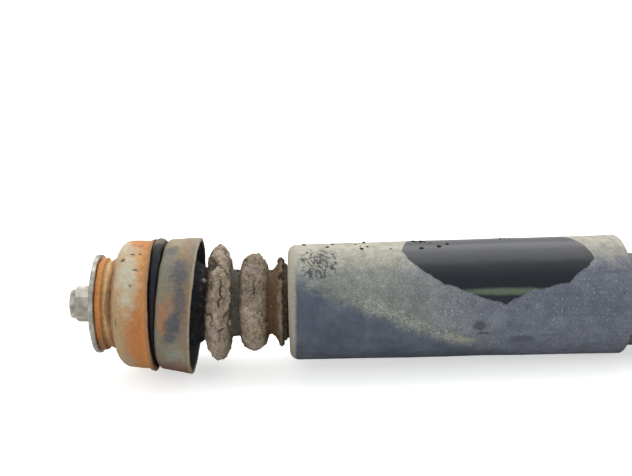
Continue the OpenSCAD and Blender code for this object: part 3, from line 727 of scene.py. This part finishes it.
# Aged polyurethane foam: dry and matt, pale with dust on its crests. In the valleys it is darker, grey in the
# first and brown with rust towards the dust tube. In the cup it is still clean and near black.
foam, tree, shader, place = finish_of("crumbling_polyurethane_foam", 0.95)
drift = add(tree, "TexNoise", {"Vector": place, "Scale": 1000 / 8, "Detail": 6, "Roughness": 0.65})
along = down_from(tree, place, drift, 0.007, foam_left + 3.5, tube_face + 3.5)
valleys = [(0.0, "1e2025"), (0.22, "212329"), (0.29, "453c33"), (0.42, "524a40"), (0.5, "56534b"),
           (0.6, "564e42"), (0.74, "563f2a"), (0.84, "624628"), (0.92, "5b4632"), (1.0, "3c332a")]
low = add(tree, "ValToRGB", {"Fac": along}, stops=valleys)
high = add(tree, "ValToRGB", {"Fac": drift}, stops=[(0.35, "857561"), (0.5, "978873"), (0.65, "a8988a")])
crest = add(tree, "Attribute", attribute_name="crest").outputs["Fac"]
in_cup = add(tree, "MapRange", {"Value": along, "From Min": 0.22, "From Max": 0.27})
crest = add(tree, "Math", {0: crest, 1: in_cup}, operation="MULTIPLY")
near_tube = add(tree, "MapRange", {"Value": along, "From Min": 0.86, "From Max": 0.80, "To Min": 0.45})
crest = add(tree, "Math", {0: crest, 1: near_tube}, operation="MULTIPLY")
colour = stain(tree, low, crest, high)
flat = unroll(tree, place)
colour = stain(tree, colour, spot(tree, flat, drift, (crest_b, 62), (9, 38), 0.6), "655a4c", 0.6)
colour = stain(tree, colour, spot(tree, flat, drift, (crest_a, -28), (6, 30), 0.6), "b8a696", 0.5)
colour, _ = mottled(tree, colour, place, 4, 0.8, 1.18)
colour, speck = mottled(tree, colour, place, 1.2, 0.55, 1.42)
rusty = add(tree, "TexNoise", {"Vector": place, "Scale": 1000 / 2.0, "Detail": 4, "Roughness": 0.7})
rusty = add(tree, "MapRange", {"Value": rusty, "From Min": 0.6, "From Max": 0.7})
colour = stain(tree, colour, rusty, "8f623c", 0.5)
pale = add(tree, "TexVoronoi", {"Vector": place, "Scale": 1000 / 1.5})
pale = add(tree, "MapRange", {"Value": pale, "From Min": 0.13, "From Max": 0.04})
colour = stain(tree, colour, (pale, crest), "d3c9bb", 0.7)
# Painted shade darkens the cracks, pits and broken places by how deep they are cut.
crevice_shade = add(tree, "Attribute", attribute_name="crevice_shade").outputs["Fac"]
crevice_painted_shade = add(tree, "MapRange", {"Value": crevice_shade, "From Min": 0.15, "From Max": 0.9})
colour = stain(tree, colour, crevice_painted_shade, "1e1a17", 0.93)
cells = add(tree, "TexVoronoi", {"Vector": place, "Scale": 1000 / 0.8})
height = add(tree, "Math", {0: cells, 1: speck}, operation="ADD")
paint(tree, shader, (height, 0.8, 0.0004), Base_Color=colour)

crumb_black, tree, shader, place = finish_of("clean_foam_crumbs", 0.9)
shade, _ = clouded(tree, place, 0.5, [(0.4, "17171a"), (0.7, "3a352f")], 2, 0.5)
paint(tree, shader, Base_Color=shade)

foam_piece = settle("bump_stop_crumbling", bm, None, foam, crease=180)
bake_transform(foam_piece)
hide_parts("bump_stop")


# ---- Dust tube ----
# A tube moulded from black polypropylene, snapped into a groove of the foam. Road dust has dried on it,
# cream on its rim, and one glossy place has been wiped clean. Its top is cream with dust and painted light
# from above. Grit has scratched it and bitten into its skin.

tube_lean = math.radians(1.0)
tube_radius = (tube_high.y - tube_low.y) * 500
tube_length = 176.8
wall, corner, flare = 2.0, 5.0, 1.0
tube_left = tube_face
tube_right = tube_left + tube_length
head_radius = tube_radius - flare
outline = [(tube_left + wall, 19.6), (tube_left, 19.6)]
outline += arc(tube_left + corner, head_radius - corner, corner, 180, 90, 10)
outline += [(tube_right - 0.4, tube_radius), (tube_right, tube_radius - 0.4),
            (tube_right, tube_radius - wall)]
outline += arc(tube_left + corner, head_radius - corner, corner - wall, 90, 180, 8)
bm = turned(fine(outline, 2.0), 220)
roughen(bm, 0.22, 45, seed=12, octaves=2)
roughen(bm, 0.05, 5, seed=13)
tube_pivot = Vector(((tube_left + wall / 2) / 1000, 0, 0))
bmesh.ops.rotate(bm, verts=bm.verts, cent=tube_pivot, matrix=Matrix.Rotation(-tube_lean, 3, "Y"))

# Polypropylene, moulded: blue-black. Dust dries on it in a matt film, and wiped places have a soft gloss.
plastic, tree, shader, place = finish_of("dusty_black_polypropylene", 0.6)
flat = unroll(tree, place)
split = add(tree, "SeparateXYZ", {"Vector": flat})
along, turn = split.outputs["X"], split.outputs["Y"]
ragged = add(tree, "TexNoise", {"Vector": place, "Scale": 1000 / 5, "Detail": 6, "Roughness": 0.65})
speck = add(tree, "TexNoise", {"Vector": place, "Scale": 1000 / 0.9, "Detail": 4, "Roughness": 0.75})
colour, cloud = clouded(tree, place, 16, [(0.35, "3f4654"), (0.5, "49505c"), (0.65, "565b66")], 7, 0.62)

# The film of dust: thick above a line that slants down the front from the rim, and thin to the right of it.
line = add(tree, "MapRange", {"Value": along, "From Min": tube_left + 20, "From Max": tube_left + 98,
                              "To Min": 26.0, "To Max": -34.0}, clamp=False)
over = add(tree, "Math", {0: turn, 1: line}, operation="SUBTRACT")
over = add(tree, "Math", {0: ragged, 1: 34.0, 2: over}, operation="MULTIPLY_ADD")
over = add(tree, "MapRange", {"Value": over, "From Min": 10.0, "From Max": 28.0},
           interpolation_type="SMOOTHSTEP")
behind = add(tree, "Math", {0: turn}, operation="ABSOLUTE")
behind = add(tree, "MapRange", {"Value": behind, "From Min": 150.0, "From Max": 172.0})
over = add(tree, "Math", {0: over, 1: behind}, operation="MAXIMUM")
thick = add(tree, "MapRange", {"Value": along, "From Min": tube_left + 80, "From Max": tube_left + 125,
                               "To Min": 1.0, "To Max": 0.62})
film = add(tree, "Math", {0: over, 1: thick}, operation="MULTIPLY")
haze = add(tree, "MapRange", {"Value": along, "From Min": tube_left + 50, "From Max": tube_left + 110})
haze = stain(tree, "767a74", haze, "666a77")
haze, _ = mottled(tree, haze, place, 9, 0.72, 1.3)
colour = stain(tree, colour, film, haze, 0.9)
grains = add(tree, "MapRange", {"Value": speck, "From Min": 0.56, "From Max": 0.68})
colour = stain(tree, colour, (grains, film), "b0ac97", 0.75)
dots = add(tree, "TexVoronoi", {"Vector": place, "Scale": 1000 / 2.1})
dots = add(tree, "Math", {0: speck, 1: -0.5, 2: dots.outputs["Distance"]}, operation="MULTIPLY_ADD")
dots = add(tree, "MapRange", {"Value": dots, "From Min": -0.10, "From Max": -0.18})
colour = stain(tree, colour, (dots, over), "c2c0ae", 0.5)
fines = add(tree, "MapRange", {"Value": speck, "From Min": 0.46, "From Max": 0.34, "To Max": 0.5})
colour = stain(tree, colour, fines, "3a404b")
sparse = add(tree, "MapRange", {"Value": speck, "From Min": 0.62, "From Max": 0.72})
colour = stain(tree, colour, sparse, "8b8f8c", 0.5)
colour, _ = mottled(tree, colour, place, 6, 0.82, 1.2)

# Along that line the dust is heaviest, and there are two smears, a bite and dark rubbed marks below it.
band = add(tree, "Math", {0: turn, 1: line}, operation="SUBTRACT")
band = add(tree, "Math", {0: band, 1: -8.0}, operation="ADD")
band = add(tree, "Math", {0: band}, operation="ABSOLUTE")
band = add(tree, "MapRange", {"Value": band, "From Min": 17.0, "From Max": 4.0})
ends = add(tree, "MapRange", {"Value": along, "From Min": tube_left + 104, "From Max": tube_left + 90})
starts = add(tree, "MapRange", {"Value": along, "From Min": tube_left + 18, "From Max": tube_left + 40})
band = add(tree, "Math", {0: band, 1: ends}, operation="MULTIPLY")
band = add(tree, "Math", {0: band, 1: starts}, operation="MULTIPLY")
splash = add(tree, "Math", {0: band, 1: 0.14, 2: speck}, operation="MULTIPLY_ADD")
splash = add(tree, "MapRange", {"Value": splash, "From Min": 0.62, "From Max": 0.72})
colour = stain(tree, colour, (splash, band), "aaa791", 0.55)
for centre, size, shade, share in (((tube_left + 90, -19), (6, 3.4), "8e9079", 0.6),
                                   ((tube_left + 82, -14), (3, 3), "9c9c80", 0.5),
                                   ((tube_left + 97, -3), (3.4, 5), "33363c", 0.75),
                                   ((tube_left + 100, -11), (3.4, 1.6), "3b3e45", 0.8),
                                   ((tube_left + 120, -19), (6.4, 4.5), "484b54", 0.8),
                                   ((tube_left + 135, -14), (8, 1.2), "4a4d57", 0.6),
                                   ((tube_left + 18, 62), (2.5, 3), "35373b", 0.8),
                                   ((tube_left + 50, -150), (20, 20), "9c9580", 0.7)):
    colour = stain(tree, colour, spot(tree, flat, ragged, centre, size, 0.3, 1.4), shade, share)

streaks = add(tree, "VectorMath", {0: place, 1: (18, 420, 420)}, operation="MULTIPLY")
streaks = add(tree, "TexNoise", {"Vector": streaks, "Scale": 1.0, "Detail": 3})
streaks = add(tree, "MapRange", {"Value": streaks, "From Min": 0.54, "From Max": 0.64})
rubbed = add(tree, "MapRange", {"Value": along, "From Min": tube_left + 70, "From Max": tube_left + 150})
colour = stain(tree, colour, (streaks, rubbed), "4a4f5b", 0.45)

# Cream on the top, thinning out downwards: loose dust, and painted light from above.
facing_up = add(tree, "SeparateXYZ", {"Vector": add(tree, "NewGeometry").outputs["Normal"]}).outputs["Z"]
top_dust_and_light = add(tree, "Math", {0: ragged, 1: 0.35, 2: facing_up}, operation="MULTIPLY_ADD")
top_dust_and_light = add(tree, "Math", {0: speck, 1: 0.3, 2: top_dust_and_light}, operation="MULTIPLY_ADD")
top_dust_and_light = add(tree, "MapRange", {"Value": top_dust_and_light, "From Min": 1.06, "From Max": 1.36})
cream = add(tree, "ValToRGB", {"Fac": ragged}, stops=[(0.35, "9b9684"), (0.6, "b3ad9a")])
colour = stain(tree, colour, top_dust_and_light, cream, 0.85)

# The wiped place. Its lower edge falls steeply from its left tip, bottoms out and climbs again to the right.
reach = add(tree, "MapRange", {"Value": along, "From Min": tube_left + 59, "From Max": tube_left + 158})
lower = [(0.0, 76), (0.03, 62), (0.1, 49), (0.18, 40), (0.27, 34), (0.35, 26), (0.45, 20), (0.52, 17),
         (0.56, 21), (0.63, 27), (0.74, 31), (0.85, 35), (0.89, 44), (0.965, 52), (1.0, 60)]
upper = [(0.0, 76), (0.04, 96), (0.1, 128), (0.5, 140), (0.8, 128), (0.9, 100), (0.95, 84), (0.985, 70),
         (1.0, 60)]
widest = 150
edges = []
for marks in (lower, upper):
    stops = [(at, (degrees / widest,) * 3 + (1,)) for at, degrees in marks]
    edges.append(add(tree, "ValToRGB", {"Fac": reach}, stops=stops))
low_edge, top_edge = edges
waver = add(tree, "MapRange", {"Value": cloud, "From Min": 0.3, "From Max": 0.7, "To Min": -3.0,
                               "To Max": 3.0})
wavy = add(tree, "Math", {0: turn, 1: waver}, operation="ADD")
above = add(tree, "Math", {0: low_edge, 1: -widest, 2: wavy}, operation="MULTIPLY_ADD")
below = add(tree, "Math", {0: top_edge, 1: widest}, operation="MULTIPLY")
below = add(tree, "Math", {0: below, 1: wavy}, operation="SUBTRACT")
inner = add(tree, "Math", {0: above, 1: below}, operation="MINIMUM")
clean = add(tree, "MapRange", {"Value": inner, "From Min": -0.4, "From Max": 1.2})
# A thin green band across the lower part of the wiped place is a painted reflection.
painted_green_reflection = spot(tree, flat, ragged, (tube_left + 111, 29.5), (24, 3.0), 0.6, 0.8)
bare = stain(tree, "1f2127", painted_green_reflection, "5d6a58", 0.85)
colour = stain(tree, colour, clean, bare)

# The rounded rim at the closed end is cream all round, specked with black.
rim = add(tree, "Math", {0: ragged, 1: 2.0, 2: along}, operation="MULTIPLY_ADD")
rim = add(tree, "MapRange", {"Value": rim, "From Min": tube_left + 5.2, "From Max": tube_left + 3.8})
fleck = add(tree, "MapRange", {"Value": speck, "From Min": 0.36, "From Max": 0.41})
colour = stain(tree, colour, (rim, fleck), "98917f", 0.9)

# Scuffs bite through the dust near the rim: thin dark wandering lines on the upper front.
worm = add(tree, "TexNoise", {"Vector": place, "Scale": 1000 / 9, "Detail": 4, "Roughness": 0.6,
                              "Distortion": 2.2})
worm = add(tree, "Math", {0: worm, 1: 0.5}, operation="SUBTRACT")
worm = add(tree, "Math", {0: worm}, operation="ABSOLUTE")
worm = add(tree, "MapRange", {"Value": worm, "From Min": 0.05, "From Max": 0.03})
scuffed = spot(tree, flat, ragged, (tube_left + 16, 62), (11, 19), 0.2, 1.2)
colour = stain(tree, colour, (scuffed, worm), "2a2a2c", 0.85)

gloss = add(tree, "MapRange", {"Value": clean, "To Min": 0.75, "To Max": 0.26})
shine = add(tree, "MapRange", {"Value": clean, "To Min": 0.5, "To Max": 0.3})
tree.links.new(shine.outputs[0], shader.inputs["Specular IOR Level"])
height = add(tree, "Math", {0: clean, 1: -1.5, 2: speck}, operation="MULTIPLY_ADD")
bump = add(tree, "Bump", {"Height": height, "Strength": 0.3, "Distance": 0.0002})
smooth = add(tree, "NewGeometry").outputs["Normal"]
normal = add(tree, "Mix", {"Factor": clean, "A": bump.outputs["Normal"], "B": smooth}, data_type="VECTOR")
paint(tree, shader, Base_Color=colour, Roughness=gloss, Normal=normal)
settle("dust_tube_moulded", bm, "dust_tube", plastic, ["dust_tube"])

# A few black crumbs of the foam lie along the tube's top.
loose_crumbs = 22
bm = bmesh.new()
for _ in range(loose_crumbs):
    x, size = dice.uniform(tube_left + 8, tube_left + 135), dice.uniform(0.25, 0.75)
    point = on_side(x, dice.uniform(76, 100), head_radius + 0.1 + (x - tube_left) / tube_length)
    point.z += (x - tube_left) / 1000 * math.sin(tube_lean)
    seat = Matrix.Translation(point) @ Matrix.Diagonal((1.6, 1, 0.6, 1))
    made = bmesh.ops.create_icosphere(bm, subdivisions=2, radius=size / 1000, matrix=seat)
    for part in made["verts"]:
        part.co += (part.co - point) * 0.8 * noise.noise(part.co * 1500)
settle("foam_crumbs", bm, "dust_tube", crumb_black, crease=180)


# ---- Cylinder ----
# The reserve tube, its rolled top, its base cap and the bump cap are drawn steel under thin black paint.
# Mud has dried tan on the paint, and rust comes through along the edges.

black_paint, tree, shader, place = finish_of("mud_stained_black_paint", 0.55)
cloud = add(tree, "TexNoise", {"Vector": place, "Scale": 1000 / 18, "Detail": 7, "Roughness": 0.65})
coatings, ragged = clouded(tree, place, 3, [(0.35, "26272a"), (0.65, "3a3a3b")], 6, 0.7)
mud = add(tree, "Math", {0: cloud, 1: ragged}, operation="ADD")
mud = add(tree, "MapRange", {"Value": mud, "From Min": 0.72, "From Max": 1.16, "To Max": 0.7},
          interpolation_type="SMOOTHSTEP")
colour = stain(tree, coatings, mud, "82786a")
colour, _ = mottled(tree, colour, place, 1.2, 0.75, 1.25)
bite = add(tree, "TexNoise", {"Vector": place, "Scale": 1000 / 5, "Detail": 6, "Roughness": 0.7})
bite = add(tree, "MapRange", {"Value": bite, "From Min": 0.64, "From Max": 0.7, "To Max": 0.8})
colour = stain(tree, colour, bite, "8a5a37")
rough = add(tree, "MapRange", {"Value": mud, "To Min": 0.35, "To Max": 0.9})
grain = add(tree, "TexNoise", {"Vector": place, "Scale": 1000 / 1.2, "Detail": 5, "Roughness": 0.7})
paint(tree, shader, (grain, 0.3, 0.0003), Base_Color=colour, Roughness=rough)
coat(black_paint, "reserve_tube", "base_cap", "bump_cap", "eye_ring")


# ---- Lower eye ----
# A ring of steel tube, welded to the base cap. Its rubber bush is bonded round a steel sleeve, whose ends are
# serrated to grip the bracket.

bush_rubber, tree, shader, place = finish_of("bonded_bush_rubber", 0.7)
shade, _ = clouded(tree, place, 4, [(0.4, "1a1a1b"), (0.62, "35322e"), (0.75, "6a6154")])
grain = add(tree, "TexNoise", {"Vector": place, "Scale": 1000 / 0.8, "Detail": 3})
paint(tree, shader, (grain, 0.3, 0.0002), Base_Color=shade)
coat(bush_rubber, "eye_bush")

sleeve_steel, tree, shader, place = finish_of("turned_bare_steel", 0.42, 0.85)
shade, _ = clouded(tree, place, 4, [(0.3, "6d4f38"), (0.45, "8f8a82"), (0.7, "aaa79f")], 6, 0.7)
lathe = add(tree, "TexNoise", {"Vector": place, "Scale": 1000 / 0.6, "Detail": 2})
paint(tree, shader, (lathe, 0.2, 0.0001), Base_Color=shade)
coat(sleeve_steel, "eye_sleeve", "inner_sleeve", "lower_washer")

# The weld runs round the neck in ripples a little over a millimetre apart.
weld_x, weld_radius, bead = eye_low.x * 1000 - 0.4, 16.2, 1.9
ripples, ripple_height = 84, 0.00022
bm = turned(arc(weld_x, weld_radius, bead, 0, 330, 11), 240)
for v in bm.verts:
    around = math.atan2(v.co.z, v.co.y)
    ripple = ripple_height * math.sin(around * ripples) + 0.0004 * noise.noise(v.co * 150)
    v.co.x += ripple
    v.co.yz *= 1 + ripple * 20
settle("eye_weld", bm, "cylinder", black_paint)


# ---- Rod, piston and valves ----
# What the closed cylinder holds: a ground and chromed rod, sintered iron guide and piston, a drawn pressure
# tube, spring-steel valve discs, and the soft parts that seal and cushion them. They keep the frame's own
# shapes.


def plain(name, shades, roughness, metallic=0.0, size=2.0):
    """A finish with a fine even mottle between two shades, its grain of that size in millimetres."""
    made, tree, shader, place = finish_of(name, roughness, metallic)
    shade, grain = clouded(tree, place, size, [(0.35, shades[0]), (0.65, shades[1])], 5, 0.6)
    paint(tree, shader, (grain, 0.15, 0.0001), Base_Color=shade)
    return made


coat(plain("hard_chrome", ("c9cbcd", "dcdee0"), 0.12, 1.0, 6), "piston_rod")
coat(plain("drawn_tube_steel", ("8b8d8f", "a3a5a6"), 0.35, 1.0, 5), "pressure_tube")
coat(plain("sintered_iron", ("5a5a5a", "777674"), 0.6, 0.8, 0.7), "piston", "base_valve_body", "rod_guide")
coat(plain("spring_steel", ("8d8c88", "a9a8a4"), 0.3, 1.0, 3), "compression_discs", "rebound_discs",
     "base_valve_plate", "base_valve_rivet", "piston_nut", "rebound_plate", "seal_washer")
coat(plain("filled_fluoropolymer", ("4d3f33", "5f5042"), 0.45), "piston_band")
coat(plain("sintered_bronze", ("8a6336", "a57d4b"), 0.4, 0.9, 0.8), "guide_bush")
coat(plain("nitrile_seal_rubber", ("141414", "222222"), 0.5), "rod_seal", "rebound_stop")
